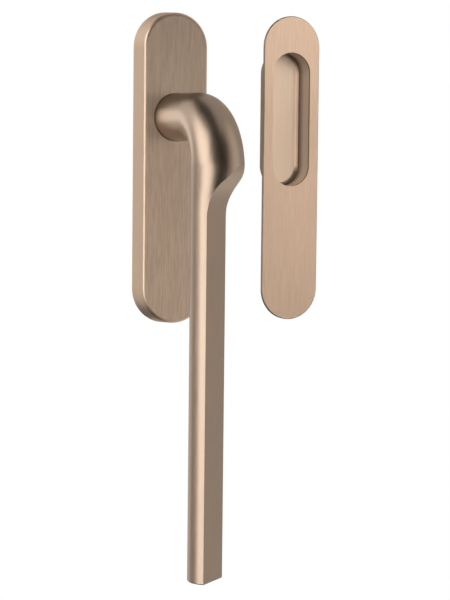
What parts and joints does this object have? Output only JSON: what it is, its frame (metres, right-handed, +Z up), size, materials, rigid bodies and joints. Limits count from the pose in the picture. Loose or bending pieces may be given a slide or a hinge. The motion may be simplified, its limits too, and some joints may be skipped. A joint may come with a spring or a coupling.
{
  "type": "lift and slide door handle",
  "caption": "Lever handle on a long round-ended cover plate for a lift and slide door, with the flush pull for the outside.",
  "frame": {"origin": "on the spindle's axis in the plane of the door's face, which is the back of the base plate and of the flush pull's face", "axes": "+Y into the door along the spindle, +Z up, +X to the right as the user sees it"},
  "size_m": [0.1175, 0.1067, 0.3109],
  "materials": {
    "satin_bronze": "satin brushed bronze-coloured metal, fine grain along the plate, soft even sheen on the lever",
    "zinc_steel": "bright zinc plating on steel, slightly uneven",
    "black_steel": "oiled black steel",
    "bearing_plastic": "natural off-white acetal, matt"
  },
  "bodies": {
    "root": {"cover_plate": "satin_bronze", "base_plate": "zinc_steel", "bearing_bush": "bearing_plastic", "thrust_washer": "bearing_plastic", "support_washer": "zinc_steel", "screw_washers": "zinc_steel", "fixing_screws": "zinc_steel", "flush_face_plate": "satin_bronze", "recess_cup": "satin_bronze", "threaded_sockets": "zinc_steel"},
    "lever": {"lever_handle": "satin_bronze", "retaining_ring": "black_steel", "spindle": "zinc_steel", "spindle_set_screw": "black_steel"}
  },
  "joints": [
    {"name": "lever_turn", "type": "hinge", "parent": "root", "child": "lever", "pos_m": [0, 0, 0], "axis": [0, 1, 0], "range_deg": [0, 180]}
  ]
}
